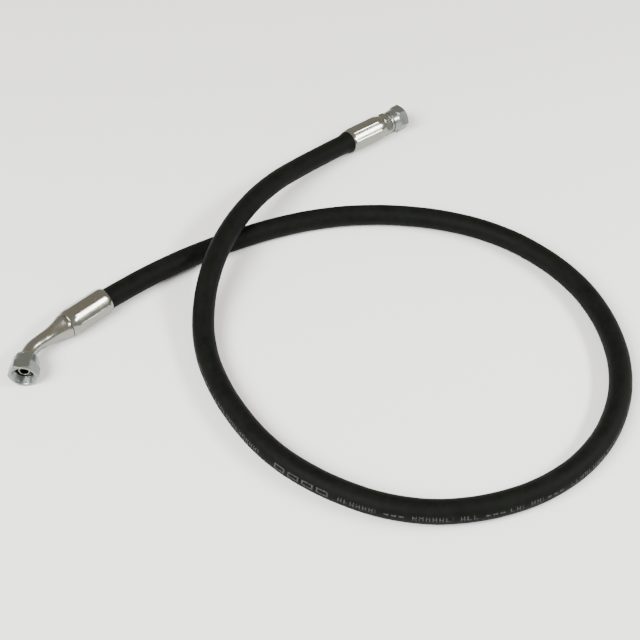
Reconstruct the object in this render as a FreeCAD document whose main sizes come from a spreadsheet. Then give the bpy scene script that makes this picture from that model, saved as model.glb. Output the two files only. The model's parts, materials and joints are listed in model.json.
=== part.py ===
import FreeCAD, Part
import math
import os
import re
import Sketcher

# Hydraulic hose assembly: a loop of textile-braided rubber hose, DN 10, that carries a
# straight swivel fitting at one end and a 45 degree swivel elbow at the other.
#
# Everything is in millimetres with +Z up. The hose lies on the plane z = 0. +X runs along
# the straight fitting, out of its nut, and the origin is under the middle of the box that
# holds the two fittings, which is close to where the hose crosses over itself.
#
# Each fitting is drawn in a frame of its own: x = 0 at the ferrule's mouth, where the hose
# goes in, and +X along the fitting's axis, away from the hose. Each nut is drawn with
# x = 0 at its rear rim.

SIZES = [
    # name, value, what it measures
    ("hose_bore", 9.5, "bore of the hose, nominal DN 10"),
    ("liner_wall", 0.95, "wall of the inner tube"),
    ("braid_wall", 0.5, "thickness of the textile braid"),
    ("cover_wall", 1.8, "wall of the rubber cover"),
    ("lying_gap", 0.2, "gap between a fitting and the surface that it lies on"),
    ("crossing_gap", 2.0, "gap between the two strands at the crossing, before the rounding"),
    ("ferrule_length", 35.5, "length of a crimped ferrule"),
    ("ferrule_wall", 2.28, "wall of the crimped barrel"),
    ("mouth_wall", 1.28, "wall at the mouth, where the hose enters"),
    ("mouth_taper", 3.0, "length of the mouth's taper"),
    ("nose_wall", 3.1, "wall at the end that is locked on the insert"),
    ("nose_taper", 5.0, "length of the nose's taper"),
    ("lip_length", 3.0, "length of the lip that sits in the insert's groove"),
    ("ferrule_fit", 0.02, "radial gap between hose and ferrule"),
    ("lock_fit", 0.05, "gap between the lip and the groove, radial and axial"),
    ("groove_wall", 2.9, "wall between the tail's bore and the locking groove"),
    ("stop_step", 0.8, "how far the flange that the hose butts against stays inside the cover"),
    ("stop_length", 2.4, "length of that flange"),
    ("tail_start", 3.0, "distance of the tail's tip from the ferrule's mouth"),
    ("tail_land", 3.05, "plain stretch between the last barb and the flange"),
    ("tail_wall", 0.9, "wall of the tail between its barbs"),
    ("barb_height", 0.45, "depth of the grooves between the barbs, below the hose's bore"),
    ("tail_fit", 0.05, "radial gap between the barbs and the inner tube"),
    ("nose_bore", 6.0, "flow bore through the nose"),
    ("collar_step", 2.7, "how far the collar stands out of the locking groove"),
    ("collar_gap", 0.3, "gap line between ferrule and collar"),
    ("straight_collar", 1.0, "length of the straight insert's collar"),
    ("spanner_inset", 0.5, "how far the straight insert's flats lie inside its round collar"),
    ("spanner_length", 5.5, "length of that hexagon"),
    ("elbow_collar", 2.2, "length of the elbow insert's collar"),
    ("neck_length", 17.0, "length of the elbow's neck, from collar to tube"),
    ("neck_step", 0.4, "how far the end of the neck stands out of the tube"),
    ("tube_wall", 2.2, "wall of the bent tube"),
    ("elbow_reach", 33.0, "distance from the ferrule's end to the corner of the axes"),
    ("bend_radius", 20.0, "radius of the bend, at the tube's axis"),
    ("bend_angle", 45.0, "angle of the bend, in degrees"),
    ("bend_stub", 0.3, "straight tube between the bend and the nut"),
    ("nut_gap", 0.6, "gap between the straight fitting's nut and the hexagon behind it"),
    ("nut_length", 16.5, "length of a swivel nut"),
    ("nut_wall", 1.3, "wall between the nut's flats and its thread relief"),
    ("nut_hex_length", 8.7, "length of the nut's hexagon"),
    ("hex_chamfer", 1.0, "length of the chamfer on the hexagon's corners"),
    ("face_inset", 0.4, "how far the flat face at the nut's mouth stays inside the flats"),
    ("shoulder_inset", 0.1, "how far the round shoulder stays inside the flats"),
    ("shoulder_drop", 0.35, "how far the shoulder comes in towards the rear"),
    ("rim_wall", 1.2, "wall of the rear rim outside the thrust wire"),
    ("rim_length", 1.9, "length of the rear rim"),
    ("rim_chamfer", 0.4, "chamfer on the rear rim"),
    ("waist_depth", 0.35, "depth of the groove between rim and shoulder"),
    ("waist_length", 0.6, "width of that groove"),
    ("thread_minor", 14.376, "minor diameter of the M16 x 1.5 thread"),
    ("thread_depth", 1.012, "how far the countersink and the relief go beyond that diameter"),
    ("countersink", 1.0, "depth of the countersink"),
    ("thread_end", 7.0, "depth from the mouth at which the thread ends"),
    ("relief_length", 2.0, "width of the thread relief"),
    ("spigot_clearance", 0.788, "how far the insert's spigot stays inside the thread"),
    ("cavity_gap", 0.5, "gap around the base of the cone, inside the nut"),
    ("swivel_fit", 0.05, "radial running gap between spigot and nut"),
    ("spigot_length", 4.0, "length of spigot inside the nut"),
    ("wire_thickness", 1.6, "thickness of the thrust wire"),
    ("wire_offset", 2.0, "distance from the nut's rear to the middle of the wire"),
    ("wire_fit", 0.06, "gap around the thrust wire"),
    ("wire_turn", 330.0, "angle that the thrust wire goes round, in degrees"),
    ("cone_step", 0.25, "step between the spigot and the base of the sealing cone"),
    ("cone_length", 7.5, "length of the sealing cone"),
    ("cone_half_angle", 12.0, "half of the 24 degree cone, in degrees"),
    ("tip_chamfer", 0.6, "chamfer on the tip of the cone"),
    ("ring_section", 1.5, "thickness of the O-ring"),
    ("ring_proud", 0.3, "how far the O-ring stands out of the cone"),
    ("ring_offset", 2.0, "distance from the cone's tip to the middle of the O-ring"),
    ("ring_fit", 0.03, "gap under the O-ring"),
    ("ring_side_gap", 0.2, "gap on each side of the O-ring"),
]

# Sizes that follow from the ones above, so that pieces which fit together stay together.
FOLLOWING = {
    "liner_outer": "hose_bore + 2 * liner_wall",
    "braid_outer": "liner_outer + 2 * braid_wall",
    "hose_outer": "braid_outer + 2 * cover_wall",
    "hose_insertion": "ferrule_length - lip_length - stop_length - 2 * lock_fit",
    "ferrule_bore": "hose_outer + 2 * ferrule_fit",
    "ferrule_outer": "ferrule_bore + 2 * ferrule_wall",
    "ferrule_mouth": "ferrule_bore + 2 * mouth_wall",
    "ferrule_lip": "lock_groove + 2 * lock_fit",
    "ferrule_nose": "ferrule_lip + 2 * nose_wall",
    "tail_root": "hose_bore - 2 * barb_height",
    "tail_bore": "tail_root - 2 * tail_wall",
    "tail_crest": "hose_bore - 2 * tail_fit",
    "lock_groove": "tail_bore + 2 * groove_wall",
    "stop_outer": "hose_outer - 2 * stop_step",
    "stop_start": "hose_insertion + lock_fit",
    "groove_start": "ferrule_length - lip_length - lock_fit",
    "collar_start": "ferrule_length + collar_gap",
    "collar_outer": "lock_groove + 2 * collar_step",
    "spanner_flats": "collar_outer - 2 * spanner_inset",
    "elbow_tube": "nose_bore + 2 * tube_wall",
    "neck_end": "elbow_tube + 2 * neck_step",
    "thread_crest": "thread_minor + 2 * thread_depth",
    "nut_flats": "thread_crest + 2 * nut_wall",
    "face_land": "nut_flats - 2 * face_inset",
    "shoulder_front": "nut_flats - 2 * shoulder_inset",
    "shoulder_rear": "shoulder_front - 2 * shoulder_drop",
    "spigot_outer": "thread_minor - 2 * spigot_clearance",
    "rear_bore": "spigot_outer + 2 * swivel_fit",
    "cavity_outer": "spigot_outer + 2 * cavity_gap",
    "wire_circle": "spigot_outer + swivel_fit",
    "half_slot": "wire_thickness / 2 + wire_fit",
    "slot_floor": "wire_circle / 2 - half_slot",
    "slot_roof": "wire_circle / 2 + half_slot",
    "rim_outer": "spigot_outer + wire_thickness + 2 * rim_wall",
    "waist_outer": "rim_outer - 2 * waist_depth",
    "cone_base": "spigot_outer - 2 * cone_step",
    "cone_slope": "tan(cone_half_angle)",
    "cone_tip": "cone_base - 2 * cone_length * cone_slope",
    "ring_circle": "cone_tip / 2 + ring_offset * cone_slope + ring_proud - ring_section / 2",
    "half_seat": "ring_section / 2 + ring_side_gap",
    "seat_floor": "ring_circle - ring_section / 2 - ring_fit",
}

ALIASES = {name for name, _, _ in SIZES}
BARB_COUNT = 6
NECK_STEPS = 5

document = FreeCAD.newDocument("hydraulic_hose_assembly")
sheet = document.addObject("Spreadsheet::Sheet", "sizes")
for row, (name, number, meaning) in enumerate(SIZES, start=1):
    sheet.set(f"A{row}", name)
    sheet.set(f"B{row}", str(number))
    sheet.setAlias(f"B{row}", name)
    sheet.set(f"C{row}", meaning)
document.recompute()


def refer(word):
    """What a name in a formula stands for: a cell of the sheet, or a formula of such cells."""
    name = word[0]
    if name in FOLLOWING:
        return "(" + bind(FOLLOWING[name]) + ")"
    return "sizes." + name if name in ALIASES else name


def bind(text):
    """Turn a formula of plain names into one that refers to the sheet."""
    return re.sub(r"[a-z_]+", refer, text)


def value(text):
    """What a formula of plain names comes to."""
    return float(sheet.evalExpression(bind(text)))


# ---------------------------------------------------------------- sketches and features

def origin_plane(body, role):
    """The body's own origin plane of that role."""
    return [feature for feature in body.Origin.OriginFeatures if feature.Role == role][0]


def new_sketch(body, name, role):
    """An empty sketch on one of the body's own origin planes."""
    sketch = body.newObject("Sketcher::SketchObject", name)
    sketch.AttachmentSupport = [(origin_plane(body, role), "")]
    sketch.MapMode = "FlatFace"
    return sketch


def add_outline(sketch, corners):
    """Close an outline through corners, each an (x, y) pair of formulas, fully dimensioned."""
    first = sketch.GeometryCount
    points = [FreeCAD.Vector(value(x), value(y), 0) for x, y in corners]
    count = len(points)
    for start, end in zip(points, points[1:] + points[:1]):
        sketch.addGeometry(Part.LineSegment(start, end), False)
    for index in range(count):
        following = first + (index + 1) % count
        sketch.addConstraint(Sketcher.Constraint("Coincident", first + index, 2, following, 1))
    for index, (x, y) in enumerate(corners):
        for kind, formula, length in (("DistanceX", x, points[index].x), ("DistanceY", y, points[index].y)):
            number = sketch.addConstraint(Sketcher.Constraint(kind, -1, 1, first + index, 1, length))
            sketch.setExpression(f"Constraints[{number}]", bind(formula))


def add_circle(sketch, radius):
    """A circle about the sketch's origin whose radius is a formula."""
    number = sketch.addGeometry(Part.Circle(FreeCAD.Vector(), FreeCAD.Vector(0, 0, 1), value(radius)), False)
    sketch.addConstraint(Sketcher.Constraint("Coincident", number, 3, -1, 1))
    bound = sketch.addConstraint(Sketcher.Constraint("Radius", number, value(radius)))
    sketch.setExpression(f"Constraints[{bound}]", bind(radius))


def revolve(body, sketch, name, axis="H_Axis", angle="360"):
    """Turn the sketch about one of its axes."""
    feature = body.newObject("PartDesign::Revolution", name)
    feature.Profile = sketch
    feature.ReferenceAxis = (sketch, [axis])
    feature.Angle = value(angle)
    feature.setExpression("Angle", bind(angle))
    body.Tip = feature
    return feature


def new_body(label):
    """A body whose label is its node's name."""
    body = document.addObject("PartDesign::Body", label)
    body.Label = label
    return body


def cut_hexagon(body, name, flats, reach):
    """Cut away what stands outside a hexagon about the X axis, with flats on top and bottom."""
    sketch = new_sketch(body, name + "_sketch", "YZ_Plane")
    corner = f"{flats} / sqrt(3)"
    angles = range(0, 360, 60)
    add_outline(sketch, [(f"{corner} * cos({angle})", f"{corner} * sin({angle})") for angle in angles])
    add_circle(sketch, reach)
    before = body.Shape.Volume
    pocket = body.newObject("PartDesign::Pocket", name)
    pocket.Profile = sketch
    pocket.Type = "ThroughAll"
    pocket.Midplane = True
    body.Tip = pocket
    document.recompute()
    if body.Shape.Volume >= before:
        raise RuntimeError(name + " cut nothing")


# ---------------------------------------------------------------- outlines shared by both ends

def tail_outline():
    """Outline of an insert from its barbed tail to the face of its collar, bore first."""
    outline = [("tail_start", "tail_bore / 2"), ("tail_start", "tail_root / 2")]
    pitch = f"(stop_start - tail_land - tail_start) / {BARB_COUNT}"
    for barb in range(BARB_COUNT):
        root = f"tail_start + {barb + 0.25} * {pitch}"
        crest = f"tail_start + {barb + 1} * {pitch}"
        outline += [(root, "tail_root / 2"), (crest, "tail_crest / 2"), (crest, "tail_root / 2")]
    outline += [
        ("stop_start", "tail_root / 2"),
        ("stop_start", "stop_outer / 2"),
        ("groove_start", "stop_outer / 2"),
        ("groove_start", "lock_groove / 2"),
        ("collar_start", "lock_groove / 2"),
        ("collar_start", "collar_outer / 2"),
    ]
    return outline


def nose_outline(rear):
    """Outline of an insert inside its nut, from the nut's rear face at x = rear to the bore."""
    wire = f"({rear} + wire_offset)"
    base = f"({rear} + spigot_length)"
    tip = f"({base} + cone_length)"
    ring = f"({tip} - ring_offset)"
    return [
        (f"{wire} - half_slot", "spigot_outer / 2"),
        (f"{wire} - half_slot", "slot_floor"),
        (f"{wire} + half_slot", "slot_floor"),
        (f"{wire} + half_slot", "spigot_outer / 2"),
        (base, "spigot_outer / 2"),
        (base, "cone_base / 2"),
        (f"{ring} - half_seat", "cone_tip / 2 + (ring_offset + half_seat) * cone_slope"),
        (f"{ring} - half_seat", "seat_floor"),
        (f"{ring} + half_seat", "seat_floor"),
        (f"{ring} + half_seat", "cone_tip / 2 + (ring_offset - half_seat) * cone_slope"),
        (f"{tip} - tip_chamfer", "cone_tip / 2 + tip_chamfer * cone_slope"),
        (tip, "cone_tip / 2 - tip_chamfer"),
        (tip, "nose_bore / 2"),
    ]


# ---------------------------------------------------------------- sub-parts

def make_ferrule(label):
    """Crimped steel sleeve: tapered mouth, barrel, tapered nose with an inner lip."""
    body = new_body(label)
    sketch = new_sketch(body, label + "_sketch", "XY_Plane")
    add_outline(sketch, [
        ("0", "ferrule_bore / 2"),
        ("0", "ferrule_mouth / 2"),
        ("mouth_taper", "ferrule_outer / 2"),
        ("ferrule_length - nose_taper", "ferrule_outer / 2"),
        ("ferrule_length", "ferrule_nose / 2"),
        ("ferrule_length", "ferrule_lip / 2"),
        ("ferrule_length - lip_length", "ferrule_lip / 2"),
        ("ferrule_length - lip_length", "ferrule_bore / 2"),
    ])
    revolve(body, sketch, label + "_turned")
    return body


def make_straight_insert(label):
    """Turned insert: barbed tail, locking groove, collar, hexagon for a spanner, cone nose."""
    body = new_body(label)
    sketch = new_sketch(body, label + "_sketch", "XY_Plane")
    hex_start = "(collar_start + straight_collar)"
    hex_end = f"({hex_start} + spanner_length)"
    rear = f"({hex_end} + nut_gap)"
    add_outline(sketch, tail_outline() + [
        (hex_start, "collar_outer / 2"),
        (hex_start, "spanner_flats / sqrt(3)"),
        (hex_end, "spanner_flats / sqrt(3)"),
        (hex_end, "spigot_outer / 2"),
    ] + nose_outline(rear) + [
        (hex_start, "nose_bore / 2"),
        (hex_start, "tail_bore / 2"),
    ])
    revolve(body, sketch, label + "_turned")
    document.recompute()
    cut_hexagon(body, label + "_hexagon", "spanner_flats", "spanner_flats")
    return body


def make_elbow_insert(label):
    """Turned and bent insert: barbed tail, collar, neck that narrows to a tube, bend, cone nose."""
    body = new_body(label)
    collar_end = "(collar_start + elbow_collar)"
    bend_start = "(ferrule_length + elbow_reach - bend_radius * tan(bend_angle / 2))"

    tail = new_sketch(body, label + "_tail_sketch", "XY_Plane")
    neck = []
    for step in range(NECK_STEPS + 1):
        share = step / NECK_STEPS
        drop = f"(collar_outer - neck_end) / 2 * {(1 - share) ** 2}"
        neck.append((f"{collar_end} + neck_length * {share}", f"neck_end / 2 + {drop}"))
    add_outline(tail, tail_outline() + neck + [
        (bend_start, "elbow_tube / 2"),
        (bend_start, "nose_bore / 2"),
        (collar_end, "nose_bore / 2"),
        (collar_end, "tail_bore / 2"),
    ])
    revolve(body, tail, label + "_tail")

    # The bend is a ring's sector: the tube's section turned about a line to its left.
    section = new_sketch(body, label + "_bend_sketch", "YZ_Plane")
    section.setExpression("AttachmentOffset.Base.z", bind(bend_start))
    add_circle(section, "elbow_tube / 2")
    add_circle(section, "nose_bore / 2")
    radius = value("bend_radius")
    axis = section.addGeometry(
        Part.LineSegment(FreeCAD.Vector(radius, -radius, 0), FreeCAD.Vector(radius, radius, 0)), True)
    section.addConstraint(Sketcher.Constraint("Symmetric", axis, 1, axis, 2, -1))
    place = section.addConstraint(Sketcher.Constraint("DistanceX", -1, 1, axis, 1, radius))
    section.setExpression(f"Constraints[{place}]", bind("bend_radius"))
    reach = section.addConstraint(Sketcher.Constraint("DistanceY", axis, 1, axis, 2, 2 * radius))
    section.setExpression(f"Constraints[{reach}]", bind("2 * bend_radius"))
    bend = revolve(body, section, label + "_bend", "Axis0", "bend_angle")
    document.recompute()
    if bend.Shape.BoundBox.YMax < value("bend_radius * (1 - cos(bend_angle))"):
        bend.Reversed = True
        document.recompute()

    nose = new_sketch(body, label + "_nose_sketch", "XY_Plane")
    nose.setExpression("AttachmentOffset.Base.x", bind(bend_start + " + bend_radius * sin(bend_angle)"))
    nose.setExpression("AttachmentOffset.Base.y", bind("bend_radius * (1 - cos(bend_angle))"))
    nose.AttachmentOffset = FreeCAD.Placement(
        nose.AttachmentOffset.Base, FreeCAD.Rotation(FreeCAD.Vector(0, 0, 1), value("bend_angle")))
    nose.setExpression("AttachmentOffset.Rotation.Angle", bind("bend_angle"))
    add_outline(nose, [
        ("0", "nose_bore / 2"),
        ("0", "elbow_tube / 2"),
        ("bend_stub", "elbow_tube / 2"),
        ("bend_stub", "spigot_outer / 2"),
    ] + nose_outline("bend_stub"))
    revolve(body, nose, label + "_nose")
    return body


def make_nut(label):
    """Swivel nut: hexagon at the mouth, round shoulder, waist and rim at the rear, threaded bore."""
    body = new_body(label)
    sketch = new_sketch(body, label + "_sketch", "XY_Plane")
    hex_start = "(nut_length - nut_hex_length)"
    waist_end = "(rim_length + waist_length)"
    relief_end = "(nut_length - thread_end - relief_length)"
    add_outline(sketch, [
        ("0", "rear_bore / 2"),
        ("0", "rim_outer / 2 - rim_chamfer"),
        ("rim_chamfer", "rim_outer / 2"),
        ("rim_length", "rim_outer / 2"),
        ("rim_length", "waist_outer / 2"),
        (waist_end, "waist_outer / 2"),
        (waist_end, "shoulder_rear / 2"),
        (hex_start, "shoulder_front / 2"),
        (f"{hex_start} + hex_chamfer", "nut_flats / sqrt(3)"),
        ("nut_length - hex_chamfer", "nut_flats / sqrt(3)"),
        ("nut_length", "face_land / 2"),
        ("nut_length", "thread_crest / 2"),
        ("nut_length - countersink", "thread_minor / 2"),
        ("nut_length - thread_end", "thread_minor / 2"),
        ("nut_length - thread_end", "thread_crest / 2"),
        (relief_end, "thread_crest / 2"),
        (relief_end, "cavity_outer / 2"),
        ("spigot_length", "cavity_outer / 2"),
        ("spigot_length", "rear_bore / 2"),
        ("wire_offset + half_slot", "rear_bore / 2"),
        ("wire_offset + half_slot", "slot_roof"),
        ("wire_offset - half_slot", "slot_roof"),
        ("wire_offset - half_slot", "rear_bore / 2"),
    ])
    revolve(body, sketch, label + "_turned")
    document.recompute()
    cut_hexagon(body, label + "_hexagon", "nut_flats", "nut_flats")
    return body


def make_ring(label, radius, thickness, turn):
    """A round-section ring about the X axis of its own frame."""
    ring = document.addObject("Part::Torus", label)
    ring.Label = label
    ring.setExpression("Radius1", bind(radius))
    ring.setExpression("Radius2", bind(thickness))
    ring.setExpression("Angle3", bind(turn))
    return ring


# ---------------------------------------------------------------- hose

LYING = value("hose_outer / 2")
OVER = value("3 * hose_outer / 2 + crossing_gap")
AXIS = value("max(ferrule_outer; nut_flats) / 2 + lying_gap")

# Points of the route, from the hose's end in the straight ferrule to its end in the elbow's.
ROUTE = [
    (174, 32, AXIS), (111, 32, AXIS), (35, 10.5, OVER), (-32.5, -27.5, OVER),
    (-77.5, -74.5, LYING), (-98.5, -137, LYING), (-99, -208, LYING), (-62, -282, LYING),
    (4.5, -319.5, LYING), (73, -320.5, LYING), (135, -285, LYING), (173, -218, LYING),
    (173, -147, LYING), (145, -88.5, LYING), (91, -38.5, LYING), (25, -11, LYING),
    (-75, 0, AXIS), (-142, -10, AXIS),
]
ARC_SHARE = 0.45


def hose_path(points):
    """Straight runs joined by tangent arcs, and the radius of each arc."""
    points = [FreeCAD.Vector(*point) for point in points]
    edges = []
    radii = []
    start = points[0]
    for before, corner, after in zip(points, points[1:], points[2:]):
        backward = (before - corner).normalize()
        forward = (after - corner).normalize()
        turn = math.pi - backward.getAngle(forward)
        cut = ARC_SHARE * min(before.distanceToPoint(corner), corner.distanceToPoint(after))
        radius = cut / math.tan(turn / 2)
        inward = (backward + forward).normalize()
        middle = corner + inward * radius * (1 / math.cos(turn / 2) - 1)
        arc_start = corner + backward * cut
        arc_end = corner + forward * cut
        edges.append(Part.LineSegment(start, arc_start).toShape())
        edges.append(Part.Arc(arc_start, middle, arc_end).toShape())
        radii.append(radius)
        start = arc_end
    edges.append(Part.LineSegment(start, points[-1]).toShape())
    return Part.Wire(edges), radii


def make_hose_layer(label, path, outer, inner):
    """One layer of the hose: a tube of constant wall along the path."""
    start = path.OrderedVertexes[0].Point
    direction = path.OrderedEdges[0].tangentAt(path.OrderedEdges[0].FirstParameter)
    solids = []
    for diameter in (value(outer), value(inner)):
        section = Part.Wire(Part.Circle(start, direction, diameter / 2).toShape())
        solids.append(path.makePipeShell([section], True, False))
    layer = document.addObject("Part::Feature", label)
    layer.Label = label
    layer.Shape = solids[0].cut(solids[1])
    expected = math.pi / 4 * (value(outer) ** 2 - value(inner) ** 2) * path.Length
    print(f"{label}: volume {layer.Shape.Volume:.1f}, section times length {expected:.1f}")
    if abs(layer.Shape.Volume - expected) > 0.001 * expected:
        raise RuntimeError(label + " has the wrong volume")
    return layer


# ---------------------------------------------------------------- assembly

def fitting_frame(end, before):
    """Frame of the fitting on a hose end: at the ferrule's mouth, +X away from the hose."""
    end = FreeCAD.Vector(*end)
    outward = (end - FreeCAD.Vector(*before)).normalize()
    mouth = end - outward * value("hose_insertion")
    return FreeCAD.Placement(mouth, FreeCAD.Rotation(FreeCAD.Vector(1, 0, 0), outward))


def along(frame, distance):
    """A frame further out along a frame's own X axis."""
    return frame * FreeCAD.Placement(FreeCAD.Vector(distance, 0, 0), FreeCAD.Rotation())


def nut_frame(frame, bent):
    """Frame of a fitting's nut: at its rear rim, +X out of its mouth."""
    if not bent:
        return along(frame, value("collar_start + straight_collar + spanner_length + nut_gap"))
    corner = along(frame, value("ferrule_length + elbow_reach"))
    turned = corner * FreeCAD.Placement(
        FreeCAD.Vector(), FreeCAD.Rotation(FreeCAD.Vector(0, 0, 1), value("bend_angle")))
    return along(turned, value("bend_radius * tan(bend_angle / 2) + bend_stub"))


def make_fitting(prefix, frame, bent):
    """All pieces of one end fitting, in place."""
    nut_place = nut_frame(frame, bent)
    ring_turn = FreeCAD.Placement(FreeCAD.Vector(), FreeCAD.Rotation(FreeCAD.Vector(0, 1, 0), 90))
    ferrule = make_ferrule(prefix + "_ferrule")
    ferrule.Placement = frame
    maker = make_elbow_insert if bent else make_straight_insert
    insert = maker(prefix + "_insert")
    insert.Placement = frame
    nut = make_nut(prefix + "_swivel_nut")
    nut.Placement = nut_place
    wire = make_ring(prefix + "_thrust_wire", "wire_circle / 2", "wire_thickness / 2", "wire_turn")
    wire.Placement = along(nut_place, value("wire_offset")) * ring_turn
    seal = make_ring(prefix + "_cone_o_ring", "ring_circle", "ring_section / 2", "360")
    seal.Placement = along(nut_place, value("spigot_length + cone_length - ring_offset")) * ring_turn
    return [ferrule, insert, nut, wire, seal]


hose_centre, hose_radii = hose_path(ROUTE)
print("hose length", round(hose_centre.Length, 1))
print("arc radii", [round(radius) for radius in hose_radii])

nodes = [
    make_hose_layer("hose_cover", hose_centre, "hose_outer", "braid_outer"),
    make_hose_layer("hose_textile_braid", hose_centre, "braid_outer", "liner_outer"),
    make_hose_layer("hose_inner_tube", hose_centre, "liner_outer", "hose_bore"),
]
nodes += make_fitting("straight", fitting_frame(ROUTE[0], ROUTE[1]), False)
nodes += make_fitting("elbow", fitting_frame(ROUTE[-1], ROUTE[-2]), True)
document.recompute()

for item in document.Objects:
    if "Invalid" in item.State or "Error" in item.State:
        raise RuntimeError(item.Label + " failed to build")
for node in nodes:
    if node.Shape.isNull() or not node.Shape.isValid():
        raise RuntimeError(node.Label + " has no valid shape")

os.makedirs("parts", exist_ok=True)
for node in nodes:
    node.Shape.exportStep(f"parts/{node.Label}.step")
    print(node.Label, len(node.Shape.Solids), "solid", round(node.Shape.Volume, 1))
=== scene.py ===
import json
import math

import bpy
import numpy as np
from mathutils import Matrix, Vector


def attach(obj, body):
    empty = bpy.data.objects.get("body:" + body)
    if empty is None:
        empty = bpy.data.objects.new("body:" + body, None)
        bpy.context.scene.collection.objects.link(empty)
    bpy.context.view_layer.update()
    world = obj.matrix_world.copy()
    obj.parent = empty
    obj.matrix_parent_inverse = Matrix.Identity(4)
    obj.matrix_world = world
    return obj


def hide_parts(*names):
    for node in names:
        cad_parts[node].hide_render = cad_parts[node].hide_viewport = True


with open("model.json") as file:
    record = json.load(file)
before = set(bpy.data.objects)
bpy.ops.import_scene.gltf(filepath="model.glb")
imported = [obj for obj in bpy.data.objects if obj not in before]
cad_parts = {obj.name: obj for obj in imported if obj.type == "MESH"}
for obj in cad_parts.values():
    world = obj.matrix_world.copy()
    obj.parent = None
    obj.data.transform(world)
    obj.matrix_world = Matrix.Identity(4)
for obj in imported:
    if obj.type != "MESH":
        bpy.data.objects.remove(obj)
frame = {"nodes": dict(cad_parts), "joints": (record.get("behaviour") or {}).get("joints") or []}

# A hydraulic hose assembly lying on a pale surface: a loop of black rubber hose that crosses
# itself, with a straight swivel fitting at one end and a 45 degree swivel elbow at the other.
# Lengths are in metres. Sizes of turned pieces are written in millimetres times MM.

MM = 0.001
TURN = 2 * math.pi
UP = np.array([0.0, 0.0, 1.0])

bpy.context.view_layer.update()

# ---------------------------------------------------------------- sizes of this object

HOSE_RADIUS = 8.0 * MM
BRAID_RADIUS = 6.2 * MM
TUBE_RADIUS = 5.7 * MM
BORE_RADIUS = 4.75 * MM
LAYER_GAP = 0.05 * MM
HOSE_INSERTION = 30.0 * MM
LYING = HOSE_RADIUS
OVER = 3 * HOSE_RADIUS + 2 * MM
AXIS = 10.5 * MM

# The hose's route, from its end in the straight ferrule to its end in the elbow's ferrule.
ROUTE = [
    (0.174, 0.032, AXIS), (0.111, 0.032, AXIS), (0.035, 0.0105, OVER), (-0.0325, -0.0275, OVER),
    (-0.0775, -0.0745, LYING), (-0.0985, -0.137, LYING), (-0.099, -0.208, LYING), (-0.062, -0.282, LYING),
    (0.0045, -0.3195, LYING), (0.073, -0.3205, LYING), (0.135, -0.285, LYING), (0.173, -0.218, LYING),
    (0.173, -0.147, LYING), (0.145, -0.0885, LYING), (0.091, -0.0385, LYING), (0.025, -0.011, LYING),
    (-0.075, 0.0, AXIS), (-0.142, -0.010, AXIS),
]

FERRULE_LENGTH = 35.5 * MM
ELBOW_REACH = 33.0 * MM
BEND_RADIUS = 20.0 * MM
BEND_ANGLE = math.radians(45)
BEND_STUB = 0.3 * MM
NUT_LENGTH = 16.5 * MM
NUT_FLATS = 19.0 * MM
SPANNER_FLATS = 17.0 * MM
STRAIGHT_REAR = 42.9 * MM
SEAL_PLACE = 9.5 * MM
THREAD_RADIUS = 7.188 * MM
THREAD_PITCH = 1.5 * MM
THREAD_DEPTH = 0.8 * MM
THREAD_BACK = NUT_LENGTH - 7.0 * MM
THREAD_FRONT = NUT_LENGTH - 1.0 * MM
CONE_SLOPE = math.tan(math.radians(12))
JAWS = 8
RIDGE_TURN = {"straight": 21 / 360, "elbow": 16 / 360}
PRINT_REPEAT = 262 * MM
PRINT_SHIFT = 112.5 * MM
PRINT_TURN = 0.457


# ---------------------------------------------------------------- shapes

def unit(vectors):
    """Vectors of length one, along the last axis."""
    return vectors / np.linalg.norm(vectors, axis=-1, keepdims=True)


def skin(name, centre, side, up, radius, distance):
    """Closed skin of a hollow piece, a torus in its topology.

    Row i is a ring about centre[i] in the plane of side[i] and up[i]. Its point at angle a
    is centre + radius * (cos(a) * side + sin(a) * up). Rows run out along the outer surface
    and back along the bore, and the last one joins the first. The UV map holds the distance
    along the piece, in metres, and the angle, in turns.
    """
    rows, columns = radius.shape
    angle = np.arange(columns) * TURN / columns
    ring = np.cos(angle)[None, :, None] * side[:, None, :] + np.sin(angle)[None, :, None] * up[:, None, :]
    points = (centre[:, None, :] + radius[:, :, None] * ring).reshape(-1, 3)

    row = np.arange(rows)[:, None]
    column = np.arange(columns)[None, :]
    next_row = (row + 1) % rows
    next_column = (column + 1) % columns
    corners = [
        row * columns + column, row * columns + next_column,
        next_row * columns + next_column, next_row * columns + column,
    ]
    faces = np.stack(np.broadcast_arrays(*corners), axis=-1).reshape(-1, 4)
    near = np.broadcast_to(distance[:, None], (rows, columns))
    far = np.roll(near, -1, axis=0)
    left = np.broadcast_to(column / columns, (rows, columns))
    right = left + 1 / columns
    uv = np.stack([
        np.stack([near, left], -1), np.stack([near, right], -1),
        np.stack([far, right], -1), np.stack([far, left], -1),
    ], axis=2).reshape(-1, 4, 2)

    first, second, third, fourth = (points[faces[:, corner]] for corner in range(4))
    volume = np.einsum("ij,ij->i", first, np.cross(second, third) + np.cross(third, fourth)).sum()
    if volume < 0:
        faces = faces[:, ::-1]
        uv = uv[:, ::-1]
    mesh = bpy.data.meshes.new(name)
    mesh.from_pydata(points.tolist(), [], faces.tolist())
    mesh.uv_layers.new(name="UVMap").data.foreach_set("uv", uv.astype(np.float32).ravel())
    mesh.polygons.foreach_set("use_smooth", np.ones(len(faces), bool))
    mesh.set_sharp_from_angle(angle=math.radians(40))
    piece = bpy.data.objects.new(name, mesh)
    bpy.context.scene.collection.objects.link(piece)
    return piece


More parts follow.
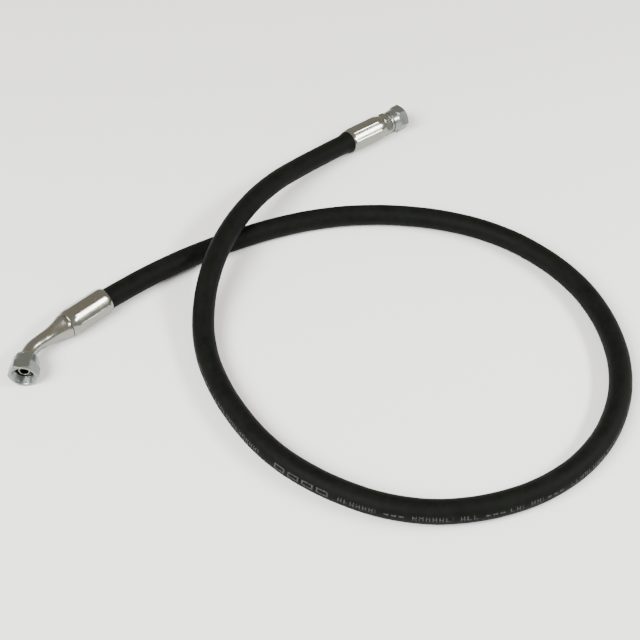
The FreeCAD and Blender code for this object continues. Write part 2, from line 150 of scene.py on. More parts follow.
def rounded(corners):
    """Closed outline from corners (distance, radius, rounding, step), all in millimetres.

    Each corner becomes the parabola that leaves one side a rounding before the corner and
    joins the next a rounding after it. The straight stretch after a corner is divided into
    equal parts no longer than its step.
    """
    places = np.array([(x, r) for x, r, _, _ in corners], float)
    sides = np.roll(places, -1, axis=0) - places
    lengths = np.linalg.norm(sides, axis=1)
    share = np.linspace(0, 1, 5)[:, None]
    outline = []
    for index, (_, _, rounding, step) in enumerate(corners):
        cut = min(rounding, 0.45 * lengths[index - 1], 0.45 * lengths[index])
        corner = places[index]
        enter = corner - sides[index - 1] / lengths[index - 1] * cut
        leave = corner + sides[index] / lengths[index] * cut
        if cut > 0:
            outline.append((1 - share) ** 2 * enter + 2 * share * (1 - share) * corner + share ** 2 * leave)
        else:
            outline.append(corner[None, :])
        following = corners[(index + 1) % len(corners)]
        next_cut = min(following[2], 0.45 * lengths[index], 0.45 * lengths[(index + 1) % len(corners)])
        stop = corner + sides[index] * (1 - next_cut / lengths[index])
        parts = max(int(np.ceil(np.linalg.norm(stop - leave) / step)), 1)
        between = np.linspace(0, 1, parts + 1)[1:-1, None]
        outline.append(leave + between * (stop - leave))
    return np.concatenate(outline) * MM


def fitting_line(start, heading, bend_start=1.0, bend_angle=0.0):
    """A fitting's centreline: straight, then an arc to the left, then straight again.

    Returns a function that gives, for an array of distances, the centres and the side
    vectors. On the arc the heading grows by distance over bend radius.
    """
    def line(distance):
        before = np.minimum(distance, bend_start)
        arc = np.clip((distance - bend_start) / BEND_RADIUS, 0, bend_angle)
        after = np.maximum(distance - bend_start - BEND_RADIUS * bend_angle, 0)
        angle = heading + arc
        x = before * math.cos(heading) + BEND_RADIUS * (np.sin(angle) - math.sin(heading))
        y = before * math.sin(heading) + BEND_RADIUS * (math.cos(heading) - np.cos(angle))
        x = x + after * np.cos(angle)
        y = y + after * np.sin(angle)
        flat = np.zeros_like(distance)
        centre = np.asarray(start) + np.stack([x, y, flat], -1)
        return centre, np.stack([-np.sin(angle), np.cos(angle), flat], -1)
    return line


def turned(name, outline, line, columns, shape=None):
    """A piece turned about a fitting's line: its outline carried round at every angle.

    shape, where given, changes the radius at each distance and angle.
    """
    distance, radius = outline[:, 0], outline[:, 1]
    angle = np.arange(columns) * TURN / columns
    radii = np.repeat(radius[:, None], columns, axis=1)
    if shape:
        radii = shape(distance[:, None], radii, angle[None, :])
    centre, side = line(distance)
    up = np.broadcast_to(UP, centre.shape)
    return skin(name, centre, side, up, radii, distance)


def soft_min(first, second, blend):
    """The smaller of two lengths, with the edge between them rounded over the blend length."""
    low = np.minimum(first, second)
    return low - blend * np.log1p(np.exp(-np.abs(first - second) / blend))


def hexagon(angle, flats):
    """Radius of a hexagon with flats above and below: half the flats over cos(angle to a flat)."""
    return flats / 2 / np.cos(np.mod(angle, TURN / 6) - TURN / 12)


def thread_tooth(distance, angle):
    """A thread's rise from crest to root: a triangle wave that moves on one pitch each turn."""
    phase = np.mod(distance / THREAD_PITCH - angle / TURN, 1.0)
    wave = 1 - np.abs(2 * phase - 1)
    return np.clip((wave - 0.12) / 0.76, 0, 1)


# ---------------------------------------------------------------- hose

def read_route():
    """The hose's smooth centreline: a quadratic NURBS spline with the route as its control points."""
    curve = bpy.data.curves.new("hose_route", "CURVE")
    curve.dimensions = "3D"
    spline = curve.splines.new("NURBS")
    spline.points.add(len(ROUTE) - 1)
    for point, place in zip(spline.points, ROUTE):
        point.co = (*place, 1.0)
    spline.order_u = 3
    spline.use_endpoint_u = True
    spline.resolution_u = 64
    holder = bpy.data.objects.new("hose_route", curve)
    bpy.context.scene.collection.objects.link(holder)
    bpy.context.view_layer.update()
    mesh = bpy.data.meshes.new_from_object(holder)
    points = np.array([vertex.co for vertex in mesh.vertices])
    bpy.data.objects.remove(holder)
    bpy.data.meshes.remove(mesh)
    return points


def thinned(route, step):
    """About one in so many points of the route, with both of its ends."""
    last = len(route) - 1
    return route[np.round(np.linspace(0, last, last // step + 1)).astype(int)]


def hose_layer(name, route, outer, inner, columns, relief=None):
    """One layer of the hose: a wall between two radii, carried along the route.

    The rings stand square to the route, with their up vector as near to vertical as that
    allows. relief, where given, is added to the outer radius at each distance and angle.
    """
    tangent = unit(np.gradient(route, axis=0))
    up = unit(UP - tangent * (tangent @ UP)[:, None])
    side = np.cross(up, tangent)
    distance = np.concatenate([[0.0], np.cumsum(np.linalg.norm(np.diff(route, axis=0), axis=1))])
    last = len(route) - 1
    back = np.round(np.linspace(last, 0, last // 8 + 1)).astype(int)
    order = np.concatenate([np.arange(len(route)), back])
    radius = np.full((len(order), columns), inner)
    radius[:len(route)] = outer
    if relief:
        angle = np.arange(columns) * TURN / columns
        radius[:len(route)] += relief(distance[:, None], angle[None, :])
    return skin(name, route[order], side[order], up[order], radius, distance[order])


def smooth_step(value):
    """0 below 0, 1 above 1, and 3 v^2 - 2 v^3 between."""
    clipped = np.clip(value, 0, 1)
    return clipped * clipped * (3 - 2 * clipped)


def cover_relief(distance, angle):
    """Relief of the rubber cover: the squeezed collar at the straight ferrule, and the wrap.

    The collar is a step of 1.25 mm that falls off over 7 mm past the ferrule's mouth. The
    curing wrap leaves a shallow ramp that climbs once in each turn of its helix and drops
    back at the tape's edge.
    """
    past_mouth = (distance - HOSE_INSERTION) / (7 * MM)
    collar = 1.25 * MM * (1 - smooth_step(past_mouth)) * (distance > HOSE_INSERTION - 1.5 * MM)
    wrap_pitch = 34 * MM
    phase = np.mod(distance / wrap_pitch + angle / TURN, 1.0)
    ramp = phase * (1 - smooth_step((phase - 0.95) / 0.05))
    return collar - 0.09 * MM * (1 - ramp)


def braid_relief(distance, angle):
    """Relief of the braid: two families of yarns that cross, as the product of two sines."""
    lay = 26 * MM
    yarns = 12
    left = np.sin(yarns * (angle + TURN * distance / lay))
    right = np.sin(yarns * (angle - TURN * distance / lay))
    return 0.08 * MM * (left * right - 1)


# ---------------------------------------------------------------- fittings

def make_ferrule(name, line, ridge_turn):
    """Crimped sleeve: eight die faces along the barrel, a tapered mouth and a rounded nose."""
    outline = rounded([
        (0.0, 8.05, 0.3, 1.0), (0.0, 9.25, 0.35, 0.5), (3.0, 10.25, 1.2, 0.6), (30.5, 10.3, 2.0, 0.5),
        (33.6, 9.9, 1.2, 0.4), (35.5, 9.45, 0.5, 1.0), (35.5, 6.36, 0.1, 1.0), (32.6, 6.36, 0.1, 1.0),
        (32.6, 8.05, 0.3, 3.0),
    ])

    def crimp(distance, radius, angle):
        """Die faces: an eighth of a turn each, a little flatter than round, with a fine ridge
        between two faces, where the metal rises between the jaws."""
        to_ridge = np.mod(angle * JAWS / TURN - ridge_turn * JAWS, 1.0) - 0.5
        face = (1 / np.cos(to_ridge * TURN / JAWS) - 1) * radius
        ridge = np.exp(-(((0.5 - np.abs(to_ridge)) * TURN / JAWS * radius) / (0.42 * MM)) ** 2)
        start = smooth_step((distance - 1.2 * MM) / (2.4 * MM))
        end = 1 - smooth_step((distance - 29 * MM) / (3.5 * MM))
        pressed = start * end * (radius > 8.6 * MM)
        return radius + pressed * (0.5 * (face - 0.035 * radius) + 0.14 * MM * ridge)

    return turned(name, outline, line, 288, crimp)


def tail_corners():
    """Corners of an insert's tail in the hose: six barbs, the stop flange and the lock groove."""
    corners = [(3.0, 3.4, 0.2, 4.0), (3.0, 4.3, 0.2, 2.0)]
    for barb in range(6):
        foot = 3.0 + 4.008 * barb
        corners += [
            (foot + 1.0, 4.3, 0.1, 2.0), (foot + 4.0, 4.7, 0.05, 1.0), (foot + 4.0, 4.3, 0.0, 2.0),
        ]
    corners += [
        (30.05, 4.3, 0.0, 2.0), (30.05, 7.2, 0.1, 2.0), (32.45, 7.2, 0.1, 2.0), (32.45, 6.3, 0.0, 2.0),
        (35.8, 6.3, 0.0, 2.0), (35.8, 9.0, 0.25, 1.0),
    ]
    return corners


def nose_corners(rear):
    """Corners of an insert's nose in its nut: wire groove, spigot, cone with O-ring seat, tip."""
    tip = rear + 11.5
    tip_radius = 6.15 - 7.5 * CONE_SLOPE
    ring = tip - 2.0
    seat = 0.95
    floor = tip_radius + 2.0 * CONE_SLOPE + 0.3 - 1.5 - 0.03
    return [
        (rear + 1.14, 6.4, 0.1, 1.0), (rear + 1.14, 5.565, 0.0, 1.0),
        (rear + 2.86, 5.565, 0.0, 1.0), (rear + 2.86, 6.4, 0.1, 1.0),
        (rear + 4.0, 6.4, 0.15, 1.0), (rear + 4.0, 6.15, 0.05, 0.5),
        (ring - seat, tip_radius + (2.0 + seat) * CONE_SLOPE, 0.1, 1.0), (ring - seat, floor, 0.15, 1.0),
        (ring + seat, floor, 0.15, 1.0), (ring + seat, tip_radius + (2.0 - seat) * CONE_SLOPE, 0.12, 0.3),
        (tip - 0.6, tip_radius + 0.6 * CONE_SLOPE, 0.35, 0.2), (tip, tip_radius - 0.6, 0.3, 0.5),
        (tip, 3.0, 0.25, 4.0),
    ]


def make_straight_insert(name, line):
    """Straight insert: barbed tail, collar, spanner hexagon with chamfered corners, cone nose."""
    corner = SPANNER_FLATS / MM / math.sqrt(3)
    outline = rounded(tail_corners() + [
        (36.8, 9.0, 0.2, 0.3), (37.4, corner, 0.2, 0.2), (41.6, corner, 0.2, 0.2),
        (42.3, 8.55, 0.2, 0.4), (42.3, 6.4, 0.1, 1.0),
    ] + nose_corners(STRAIGHT_REAR / MM) + [(36.8, 3.0, 0.1, 1.0), (36.8, 3.4, 0.1, 4.0)])

    def flats(distance, radius, angle):
        """The spanner's hexagon: the radius is limited by six flats, softly at their edges."""
        return soft_min(radius, hexagon(angle, SPANNER_FLATS), 0.05 * MM)

    return turned(name, outline, line, 240, flats)


def make_elbow_insert(name, line, bend_start):
    """Bent insert: barbed tail, collar, a neck that narrows along a parabola, bent tube, nose."""
    share = np.linspace(0, 1, 14)
    neck = [(38.0 + 17.0 * part, 5.6 + 3.4 * (1 - part) ** 2, 0.0, 1.0) for part in share]
    bend_end = (bend_start + BEND_RADIUS * BEND_ANGLE) / MM
    outline = rounded(tail_corners() + neck + [
        (bend_start / MM, 5.2, 0.6, 0.5), (bend_end, 5.2, 0.0, 0.3), (bend_end + 0.3, 5.2, 0.0, 0.3),
        (bend_end + 0.3, 6.4, 0.2, 0.5),
    ] + nose_corners(bend_end + 0.3) + [
        (bend_end, 3.0, 0.0, 0.5), (bend_start / MM, 3.0, 0.0, 3.0), (38.0, 3.0, 0.1, 1.0),
        (38.0, 3.4, 0.1, 4.0),
    ])
    return turned(name, outline, line, 128)


def make_nut(name, line):
    """Swivel nut: rear rim, waist, round shoulder, chamfered hexagon and a threaded mouth."""
    corner = NUT_FLATS / MM / math.sqrt(3)
    minor = THREAD_RADIUS / MM
    outline = rounded([
        (0.0, 6.45, 0.15, 1.0), (0.0, 8.0, 0.3, 0.5), (0.4, 8.4, 0.3, 0.5), (1.9, 8.4, 0.25, 0.3),
        (1.9, 8.05, 0.08, 0.3), (2.5, 8.05, 0.08, 0.3), (2.5, 9.05, 0.4, 0.3), (6.6, 9.3, 1.5, 0.25),
        (7.8, 9.4, 0.1, 0.12), (8.9, corner, 0.3, 0.25), (15.4, corner, 0.3, 0.12), (16.5, 9.0, 0.3, 0.4),
        (16.5, 8.2, 0.2, 0.2), (15.5, minor, 0.1, 0.1), (9.5, minor, 0.05, 0.4), (9.5, 8.2, 0.2, 0.5),
        (7.5, 8.2, 0.2, 0.5), (7.5, 6.9, 0.1, 0.7), (4.0, 6.9, 0.1, 0.5), (4.0, 6.45, 0.05, 0.5),
        (2.86, 6.45, 0.05, 0.4), (2.86, 7.285, 0.0, 0.5), (1.14, 7.285, 0.0, 0.4), (1.14, 6.45, 0.05, 0.4),
    ])

    def cut(distance, radius, angle):
        """Six flats outside, and inside a thread that runs out at both of its ends."""
        shaped = soft_min(radius, hexagon(angle, NUT_FLATS), 0.06 * MM)
        bore = np.abs(radius - THREAD_RADIUS) < 0.3 * MM
        inside = (distance > THREAD_BACK - 0.05 * MM) & (distance < THREAD_FRONT + 0.35 * MM)
        run_out = smooth_step((distance - THREAD_BACK) / (0.8 * MM))
        return shaped + bore * inside * run_out * THREAD_DEPTH * thread_tooth(distance, angle)

    return turned(name, outline, line, 240, cut)


def make_seal(name, line, middle):
    """O-ring: a round section about the fitting's line, with the fine flash line of its mould."""
    angle = np.linspace(0, TURN, 32, endpoint=False)
    section = 0.75 * MM
    circle = 6.15 * MM - 5.5 * MM * CONE_SLOPE + 0.3 * MM - section
    flash = 0.02 * MM * np.exp(-(np.sin(angle - math.pi / 2) / 0.12) ** 2)
    distance = middle - (section + flash) * np.cos(angle)
    radius = circle + (section + flash) * np.sin(angle)
    return turned(name, np.stack([distance, radius], -1), line, 96)


# ---------------------------------------------------------------- nodes of a material

class Network:
    """A node tree with short calls for the nodes that the materials share."""

    def __init__(self, tree):
        self.tree = tree

    def node(self, kind, **inputs):
        """A node of a kind, with its inputs set or joined by name."""
        made = self.tree.nodes.new(kind)
        for name, given in inputs.items():
            self.join(made.inputs[name.replace("_", " ")], given)
        return made

    def join(self, socket, given):
        """Set a socket to a number or colour, or join it to another node's output."""
        if isinstance(given, bpy.types.NodeSocket):
            self.tree.links.new(given, socket)
        else:
            socket.default_value = given

    def math(self, operation, *values):
        """One step of arithmetic."""
        made = self.tree.nodes.new("ShaderNodeMath")
        made.operation = operation
        for socket, given in zip(made.inputs, values):
            self.join(socket, given)
        return made.outputs[0]

    def vector(self, x, y, z):
        """Three numbers as one vector."""
        return self.node("ShaderNodeCombineXYZ", X=x, Y=y, Z=z).outputs[0]

    def noise(self, place, scale, detail=3.0, roughness=0.5):
        """Soft noise from 0 to 1."""
        made = self.node("ShaderNodeTexNoise", Vector=place, Scale=scale, Detail=detail, Roughness=roughness)
        return made.outputs["Fac"]

    def spread(self, value, low, high, first=0.0, second=1.0):
        """The range low to high stretched to first to second, and held at the ends."""
        made = self.node("ShaderNodeMapRange")
        limits = {"Value": value, "From Min": low, "From Max": high, "To Min": first, "To Max": second}
        for name, given in limits.items():
            self.join(made.inputs[name], given)
        return made.outputs["Result"]

    def mix(self, share, first, second):
        """A colour between two colours."""
        made = self.tree.nodes.new("ShaderNodeMix")
        made.data_type = "RGBA"
        self.join(made.inputs[0], share)
        self.join(made.inputs[6], first)
        self.join(made.inputs[7], second)
        return made.outputs[2]

    def bump(self, height, strength, depth, normal=None):
        """A normal from a height from 0 to 1, whose full range is depth metres."""
        made = self.node("ShaderNodeBump", Height=height, Strength=strength, Distance=depth)
        if normal:
            self.join(made.inputs["Normal"], normal)
        return made.outputs[0]

    def window(self, value, low, high):
        """1 where a value lies between two limits, 0 elsewhere."""
        above = self.math("GREATER_THAN", value, low)
        return self.math("MULTIPLY", above, self.math("LESS_THAN", value, high))


def new_group(name, inputs, outputs):
    """An empty shader node group with named sockets, and its network, input and output nodes."""
    group = bpy.data.node_groups.new(name, "ShaderNodeTree")
    for label, kind, default in inputs:
        socket = group.interface.new_socket(label, in_out="INPUT", socket_type=kind)
        if default is not None:
            socket.default_value = default
    for label, kind in outputs:
        group.interface.new_socket(label, in_out="OUTPUT", socket_type=kind)
    network = Network(group)
    return group, network, network.node("NodeGroupInput"), network.node("NodeGroupOutput")


def use_group(network, group, **inputs):
    """A placed node group with its inputs set by name."""
    made = network.tree.nodes.new("ShaderNodeGroup")
    made.node_tree = group
    for name, given in inputs.items():
        network.join(made.inputs[name.replace("_", " ")], given)
    return made


NUMBER = "NodeSocketFloat"
VECTOR = "NodeSocketVector"


def handling_group():
    """Handling marks: fine scratches and smudges, as a mask and a height."""
    group, net, given, result = new_group(
        "handling_marks",
        [("Vector", VECTOR, None), ("Scratches", NUMBER, 0.5), ("Smudges", NUMBER, 0.5)],
        [("Smudge", NUMBER), ("Scratch", NUMBER), ("Height", NUMBER)],
    )
    place = given.outputs["Vector"]
    smudge = net.spread(net.noise(place, 260.0, 4.0, 0.6), 0.38, 0.72)
    warped = net.node("ShaderNodeMapping", Vector=place, Rotation=(0.4, 0.9, 0.3), Scale=(1.0, 0.05, 1.0))
    crossed = net.node("ShaderNodeMapping", Vector=place, Rotation=(1.1, -0.5, 1.3), Scale=(1.0, 0.06, 1.0))
    first = net.spread(net.noise(warped.outputs[0], 1500.0, 2.0), 0.66, 0.72)
    second = net.spread(net.noise(crossed.outputs[0], 1300.0, 2.0), 0.67, 0.72)
    scratch = net.math("MULTIPLY", net.math("MAXIMUM", first, second), given.outputs["Scratches"])
    net.join(result.inputs["Smudge"], net.math("MULTIPLY", smudge, given.outputs["Smudges"]))
    net.join(result.inputs["Scratch"], scratch)
    net.join(result.inputs["Height"], net.math("SUBTRACT", 1.0, scratch))
    return group


def turning_group():
    """Tool marks of a turned surface: fine rings along the piece, from the distance alone."""
    group, net, given, result = new_group(
        "turning_marks", [("Distance", NUMBER, 0.0), ("Lines per metre", NUMBER, 9000.0)],
        [("Height", NUMBER)])
    along = net.math("MULTIPLY", given.outputs["Distance"], given.outputs["Lines per metre"])
    rings = net.noise(net.vector(along, 0.0, 0.0), 1.0, 2.0, 0.7)
    net.join(result.inputs["Height"], rings)
    return group


def drawn_group():
    """Drawing marks of a pressed sleeve: streaks that run lengthwise, from the angle mostly."""
    group, net, given, result = new_group(
        "drawn_marks", [("Distance", NUMBER, 0.0), ("Turns", NUMBER, 0.0)], [("Height", NUMBER)])
    angle = net.math("MULTIPLY", given.outputs["Turns"], TURN)
    place = net.vector(
        net.math("MULTIPLY", net.math("COSINE", angle), 46.0),
        net.math("MULTIPLY", net.math("SINE", angle), 46.0),
        net.math("MULTIPLY", given.outputs["Distance"], 60.0))
    net.join(result.inputs["Height"], net.noise(place, 1.0, 3.0, 0.65))
    return group


def print_group():
    """A printed line of plain marks: open boxes, strokes and dashes that spell nothing, worn in places.

    The line repeats along the hose. Each repeat holds a row of large open boxes, then groups
    of small upright strokes whose bars change height from cell to cell, with short dashes
    between them. Distance is in metres and Across is the distance from the line's middle.
    """
    group, net, given, result = new_group(
        "printed_line", [("Distance", NUMBER, 0.0), ("Across", NUMBER, 0.0)], [("Ink", NUMBER)])
    distance, across = given.outputs["Distance"], given.outputs["Across"]
    place = net.math("MODULO", net.math("ADD", distance, PRINT_SHIFT), PRINT_REPEAT)
    height = net.math("ABSOLUTE", across)

    def row(start, end, pitch, first, last, tall):
        """Marks of one pitch between two places, each between two shares of the pitch."""
        phase = net.math("FRACT", net.math("DIVIDE", net.math("SUBTRACT", place, start), pitch))
        marks = net.math("MULTIPLY", net.window(phase, first, last), net.window(place, start, end))
        return net.math("MULTIPLY", marks, net.math("LESS_THAN", height, tall))

    def strokes(start, end):
        """Small upright strokes with bars, chosen cell by cell with a fixed hash."""
        pitch = 3.9 * MM
        steps = net.math("DIVIDE", net.math("SUBTRACT", place, start), pitch)
        phase = net.math("FRACT", steps)
        white = net.node("ShaderNodeTexWhiteNoise")
        white.noise_dimensions = "1D"
        net.join(white.inputs["W"], net.math("ADD", net.math("FLOOR", steps), start * 1000))
        chance = white.outputs["Value"]
        left = net.window(phase, 0.08, 0.24)
        right = net.math("MULTIPLY", net.window(phase, 0.58, 0.74), net.math("GREATER_THAN", chance, 0.3))
        low = net.math("LESS_THAN", height, 1.6 * MM)
        upright = net.math("MULTIPLY", net.math("MAXIMUM", left, right), low)
        level = net.spread(chance, 0.0, 1.0, -1.3 * MM, 1.3 * MM)
        gap = net.math("ABSOLUTE", net.math("SUBTRACT", across, level))
        bar = net.math("MULTIPLY", net.math("LESS_THAN", gap, 0.3 * MM), net.window(phase, 0.08, 0.74))
        return net.math("MULTIPLY", net.math("MAXIMUM", upright, bar), net.window(place, start, end))

    solid = row(0.0, 42 * MM, 10.5 * MM, 0.06, 0.84, 1.9 * MM)
    hollow = row(0.0, 42 * MM, 10.5 * MM, 0.16, 0.74, 1.1 * MM)
    ink = net.math("SUBTRACT", solid, hollow)
    for start, end in ((46.5, 70.5), (92, 116), (120, 132), (150.5, 159), (164, 172.5), (193, 249)):
        ink = net.math("MAXIMUM", ink, strokes(start * MM, end * MM))
    for start in (75, 135, 175):
        ink = net.math("MAXIMUM", ink, row(start * MM, (start + 13.5) * MM, 4.5 * MM, 0.1, 0.75, 0.6 * MM))
    worn = net.spread(net.noise(net.vector(distance, across, 0.0), 900.0, 4.0, 0.7), 0.36, 0.6)
    net.join(result.inputs["Ink"], net.math("MULTIPLY", ink, worn))
    return group


def new_material(name):
    """A material with one Principled shader, and its network, shader and texture places."""
    material = bpy.data.materials.new(name)
    material.use_nodes = True
    network = Network(material.node_tree)
    places = network.node("ShaderNodeTexCoord")
    shader = material.node_tree.nodes["Principled BSDF"]
    return material, network, shader, places


def zinc_plate(name, tint, roughness, groups, drawn):
    """Bright zinc plating over steel that was turned, or drawn and pressed."""
    material, net, shader, places = new_material(name)
    place = places.outputs["Object"]
    split = net.node("ShaderNodeSeparateXYZ", Vector=places.outputs["UV"])
    marks = use_group(net, groups["handling"], Vector=place, Scratches=0.55, Smudges=0.7)
    if drawn:
        made = use_group(net, groups["drawn"], Distance=split.outputs[0], Turns=split.outputs[1])
    else:
        made = use_group(net, groups["turning"], Distance=split.outputs[0])
    cloud = net.spread(net.noise(place, 120.0, 3.0), 0.3, 0.7)
    passivated = net.mix(cloud, (*tint, 1.0), (tint[0] * 0.94, tint[1] * 0.98, tint[2] * 1.04, 1.0))
    dull_tint = (tint[0] * 0.78, tint[1] * 0.79, tint[2] * 0.74, 1.0)
    dulled = net.mix(net.math("MULTIPLY", marks.outputs["Smudge"], 0.5), passivated, dull_tint)
    net.join(shader.inputs["Base Color"], dulled)
    shader.inputs["Metallic"].default_value = 1.0
    rough = net.math("ADD", roughness, net.math("MULTIPLY", marks.outputs["Smudge"], 0.16))
    tool_marks = net.math("SUBTRACT", made.outputs["Height"], 0.5)
    rough = net.math("ADD", rough, net.math("MULTIPLY", tool_marks, 0.22))
    net.join(shader.inputs["Roughness"], rough)
    ground = net.bump(made.outputs["Height"], 0.5, 0.02 * MM)
    net.join(shader.inputs["Normal"], net.bump(marks.outputs["Height"], 0.5, 0.01 * MM, ground))
    return material


def cover_rubber(groups):
    """Black synthetic rubber with the weave of its curing wrap, dust, scuffs and a printed line."""
    material, net, shader, places = new_material("hose_cover_rubber")
    place = places.outputs["Object"]
    split = net.node("ShaderNodeSeparateXYZ", Vector=places.outputs["UV"])
    distance, turns = split.outputs[0], split.outputs[1]
    around = net.math("MULTIPLY", turns, TURN * HOSE_RADIUS)
    slant = net.math("ADD", distance, net.math("MULTIPLY", around, 0.68))
    warp = net.math("SINE", net.math("MULTIPLY", slant, TURN / (0.9 * MM)))
    weft_place = net.math("SUBTRACT", around, net.math("MULTIPLY", distance, 0.68))
    weft = net.math("SINE", net.math("MULTIPLY", weft_place, TURN / (0.9 * MM)))
    weave = net.spread(net.math("MULTIPLY", warp, weft), -1.0, 1.0)

    marks = use_group(net, groups["handling"], Vector=place, Scratches=0.5, Smudges=1.0)
    mottle = net.spread(net.noise(place, 90.0, 5.0, 0.6), 0.35, 0.7)
    black = net.mix(mottle, (0.0014, 0.0018, 0.0012, 1.0), (0.0034, 0.0042, 0.0030, 1.0))
    dusty = net.mix(net.math("MULTIPLY", marks.outputs["Smudge"], 0.22), black, (0.0075, 0.0085, 0.0065, 1.0))
    scuffed = net.mix(net.math("MULTIPLY", marks.outputs["Scratch"], 0.35), dusty, (0.012, 0.013, 0.011, 1.0))

    # The printed line runs on the outer side of the loop, a little above the middle.
    across = net.math("MULTIPLY", net.math("SUBTRACT", PRINT_TURN, turns), TURN * HOSE_RADIUS)
    ink = use_group(net, groups["print"], Distance=distance, Across=across).outputs["Ink"]
    printed = net.mix(net.math("MULTIPLY", ink, 0.8), scuffed, (0.07, 0.078, 0.072, 1.0))
    net.join(shader.inputs["Base Color"], printed)
    rough = net.math("ADD", 0.56, net.math("MULTIPLY", mottle, 0.12))
    net.join(shader.inputs["Roughness"], net.math("ADD", rough, net.math("MULTIPLY", weave, 0.05)))
    shader.inputs["Specular IOR Level"].default_value = 0.07
    grain = net.noise(place, 2600.0, 3.0)
    ground = net.bump(weave, 0.35, 0.05 * MM)
    net.join(shader.inputs["Normal"], net.bump(grain, 0.4, 0.03 * MM, ground))
    return material


def plain_rubber(name, colour, roughness, groups):
    """Smooth moulded or extruded rubber, oily in places."""
    material, net, shader, places = new_material(name)
    place = places.outputs["Object"]
    marks = use_group(net, groups["handling"], Vector=place, Scratches=0.2, Smudges=0.8)
    lighter = tuple(part * 1.9 for part in colour)
    net.join(shader.inputs["Base Color"], net.mix(marks.outputs["Smudge"], (*colour, 1.0), (*lighter, 1.0)))
    oily = net.math("MULTIPLY", marks.outputs["Smudge"], 0.2)
    net.join(shader.inputs["Roughness"], net.math("ADD", roughness, oily))
    net.join(shader.inputs["Normal"], net.bump(net.noise(place, 3000.0, 2.0), 0.3, 0.02 * MM))
    return material


def braid_textile():
    """Pale synthetic yarn: fine threads that follow the hose, and a colour that varies by yarn."""
    material, net, shader, places = new_material("textile_braid")
    split = net.node("ShaderNodeSeparateXYZ", Vector=places.outputs["UV"])
    along = net.math("MULTIPLY", split.outputs[0], 900.0)
    around = net.math("MULTIPLY", split.outputs[1], 60.0)
    threads = net.math("SINE", net.math("MULTIPLY", net.math("ADD", along, around), TURN))
    fuzz = net.noise(places.outputs["Object"], 1800.0, 4.0)
    net.join(shader.inputs["Base Color"], net.mix(fuzz, (0.50, 0.46, 0.38, 1.0), (0.72, 0.69, 0.60, 1.0)))
    shader.inputs["Roughness"].default_value = 0.85
    shader.inputs["Sheen Weight"].default_value = 0.3
    net.join(shader.inputs["Normal"], net.bump(net.spread(threads, -1.0, 1.0), 0.6, 0.05 * MM))
    return material


def drawn_wire(groups):
    """Drawn spring wire, darker and duller than the plating."""
    material, net, shader, places = new_material("spring_steel_wire")
    marks = use_group(net, groups["handling"], Vector=places.outputs["Object"], Scratches=0.8, Smudges=0.8)
    smudge = marks.outputs["Smudge"]
    net.join(shader.inputs["Base Color"], net.mix(smudge, (0.46, 0.46, 0.45, 1.0), (0.30, 0.30, 0.29, 1.0)))
    shader.inputs["Metallic"].default_value = 1.0
    net.join(shader.inputs["Roughness"], net.math("ADD", 0.32, net.math("MULTIPLY", smudge, 0.2)))
    net.join(shader.inputs["Normal"], net.bump(marks.outputs["Height"], 0.5, 0.01 * MM))
    return material


# ---------------------------------------------------------------- the assembly

groups = {
    "handling": handling_group(), "turning": turning_group(), "drawn": drawn_group(), "print": print_group(),
}
ZINC = (0.25, 0.247, 0.213)
ferrule_plate = zinc_plate("zinc_plate_pressed", ZINC, 0.15, groups, True)
turned_plate = zinc_plate("zinc_plate_turned", ZINC, 0.19, groups, False)
nut_plate = zinc_plate("zinc_plate_nut", (0.225, 0.24, 0.225), 0.27, groups, False)
seal_rubber = plain_rubber("seal_rubber", (0.006, 0.006, 0.0065), 0.32, groups)


def finish_piece(piece, material, node, body):
    """Give a piece its material, and let it stand for its CAD node and move with its body."""
    piece.data.materials.append(material)
    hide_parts(node)
    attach(piece, body)
    return piece


route = read_route()
cover = finish_piece(
    hose_layer("cover", route, HOSE_RADIUS, BRAID_RADIUS, 72, cover_relief),
    cover_rubber(groups), "hose_cover", "hose")
braid = finish_piece(
    hose_layer(
        "textile_reinforcement", thinned(route, 2), BRAID_RADIUS - LAYER_GAP, TUBE_RADIUS, 72, braid_relief),
    braid_textile(), "hose_textile_braid", "hose")
inner_tube = finish_piece(
    hose_layer("inner_liner", thinned(route, 4), TUBE_RADIUS - LAYER_GAP, BORE_RADIUS, 48),
    plain_rubber("inner_tube_rubber", (0.010, 0.010, 0.011), 0.4, groups),
    "hose_inner_tube", "hose")

joints = {joint["child"]: joint for joint in frame["joints"]}
wire_material = drawn_wire(groups)


def make_fitting(prefix, end, before):
    """All pieces of one end fitting: the ferrule and insert on the hose, the nut on its own body."""
    outward = unit(np.array(end) - np.array(before))
    mouth = np.array(end) - outward * HOSE_INSERTION
    heading = math.atan2(outward[1], outward[0])
    bent = prefix == "elbow"
    bend_start = FERRULE_LENGTH + ELBOW_REACH - BEND_RADIUS * math.tan(BEND_ANGLE / 2)
    line = fitting_line(mouth, heading, bend_start, BEND_ANGLE) if bent else fitting_line(mouth, heading)
    finish_piece(
        make_ferrule(prefix + "_sleeve", line, RIDGE_TURN[prefix]), ferrule_plate,
        prefix + "_ferrule", "hose")
    if bent:
        insert = make_elbow_insert(prefix + "_stem", line, bend_start)
        rear = bend_start + BEND_RADIUS * BEND_ANGLE + BEND_STUB
    else:
        insert = make_straight_insert(prefix + "_stem", line)
        rear = STRAIGHT_REAR
    finish_piece(insert, turned_plate, prefix + "_insert", "hose")
    finish_piece(
        make_seal(prefix + "_seal", line, rear + SEAL_PLACE), seal_rubber,
        prefix + "_cone_o_ring", "hose")
    joint = joints[prefix + "_nut"]
    axis = joint["axis"]
    nut_line = fitting_line(np.array(joint["pos_m"]), math.atan2(axis[1], axis[0]))
    finish_piece(
        make_nut(prefix + "_union_nut", nut_line), nut_plate,
        prefix + "_swivel_nut", prefix + "_nut")
    wire = frame["nodes"][prefix + "_thrust_wire"]
    wire.data.materials.clear()
    wire.data.materials.append(wire_material)
    return mouth, outward


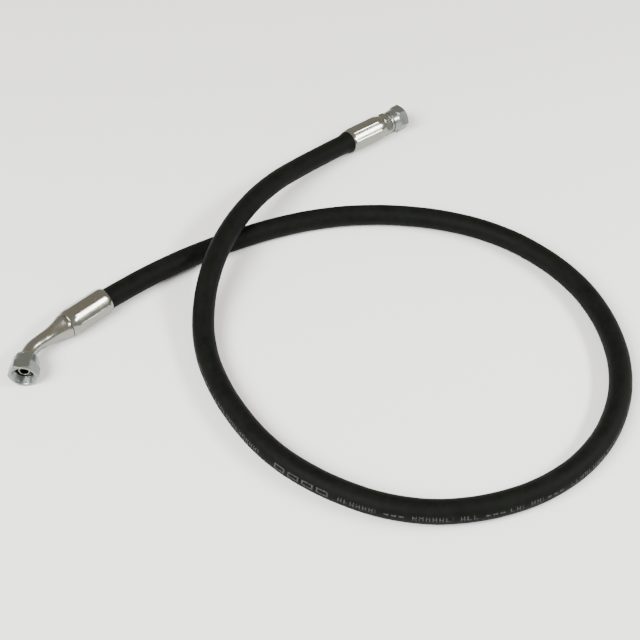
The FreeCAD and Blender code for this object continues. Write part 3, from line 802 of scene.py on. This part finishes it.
straight_mouth, straight_outward = make_fitting("straight", ROUTE[0], ROUTE[1])
make_fitting("elbow", ROUTE[-1], ROUTE[-2])


# ---------------------------------------------------------------- surface, light and camera

def make_floor():
    """A wide pale surface with a very faint tone."""
    mesh = bpy.data.meshes.new("floor")
    reach = 6.0
    corners = [(-reach, -reach, 0), (reach, -reach, 0), (reach, reach, 0), (-reach, reach, 0)]
    mesh.from_pydata(corners, [], [(0, 1, 2, 3)])
    floor = bpy.data.objects.new("floor", mesh)
    bpy.context.scene.collection.objects.link(floor)
    material, net, shader, places = new_material("pale_surface")
    tone = net.noise(places.outputs["Object"], 3.0, 2.0)
    net.join(shader.inputs["Base Color"], net.mix(tone, (0.90, 0.90, 0.897, 1.0), (0.92, 0.92, 0.917, 1.0)))
    shader.inputs["Roughness"].default_value = 0.9
    shader.inputs["Specular IOR Level"].default_value = 0.1
    mesh.materials.append(material)


def make_sky():
    """Soft room light: darker and warmer overhead, bright at the horizon."""
    world = bpy.data.worlds.new("room")
    bpy.context.scene.world = world
    world.use_nodes = True
    net = Network(world.node_tree)
    direction = net.node("ShaderNodeTexCoord").outputs["Generated"]
    height = net.node("ShaderNodeSeparateXYZ", Vector=direction).outputs[2]
    share = net.spread(height, 0.05, 0.75)
    colour = net.mix(share, (0.86, 0.85, 0.81, 1.0), (0.86, 0.78, 0.66, 1.0))
    background = world.node_tree.nodes["Background"]
    net.join(background.inputs["Color"], colour)
    background.inputs["Strength"].default_value = 0.8


def add_light(name, place, target, width, height, power, colour=(1.0, 1.0, 1.0)):
    """A rectangular soft light aimed at a point."""
    lamp = bpy.data.lights.new(name, "AREA")
    lamp.shape = "RECTANGLE"
    lamp.size = width
    lamp.size_y = height
    lamp.energy = power
    lamp.color = colour
    holder = bpy.data.objects.new(name, lamp)
    bpy.context.scene.collection.objects.link(holder)
    holder.location = place
    holder.rotation_euler = (Vector(target) - Vector(place)).to_track_quat("-Z", "Y").to_euler()


def add_camera():
    """A camera 0.6 m up that looks 46 degrees down across the loop towards the crossing."""
    place = Vector((-0.3498, -0.5638, 0.596))
    looking = Vector((0.4269, 0.5480, -0.7193))
    data = bpy.data.cameras.new("camera")
    data.sensor_width = 36.0
    data.lens = 64.125
    camera = bpy.data.objects.new("camera", data)
    bpy.context.scene.collection.objects.link(camera)
    camera.location = place
    camera.rotation_euler = looking.to_track_quat("-Z", "Y").to_euler()
    bpy.context.scene.camera = camera


make_floor()
make_sky()
add_light("key", (0.70, -0.92, 0.90), (0.0, -0.02, 0.0), 0.8, 0.19, 26.0)
add_light("fill", (-1.5, -0.3, 1.5), (0.0, -0.12, 0.0), 1.4, 1.0, 105.0)
add_camera()
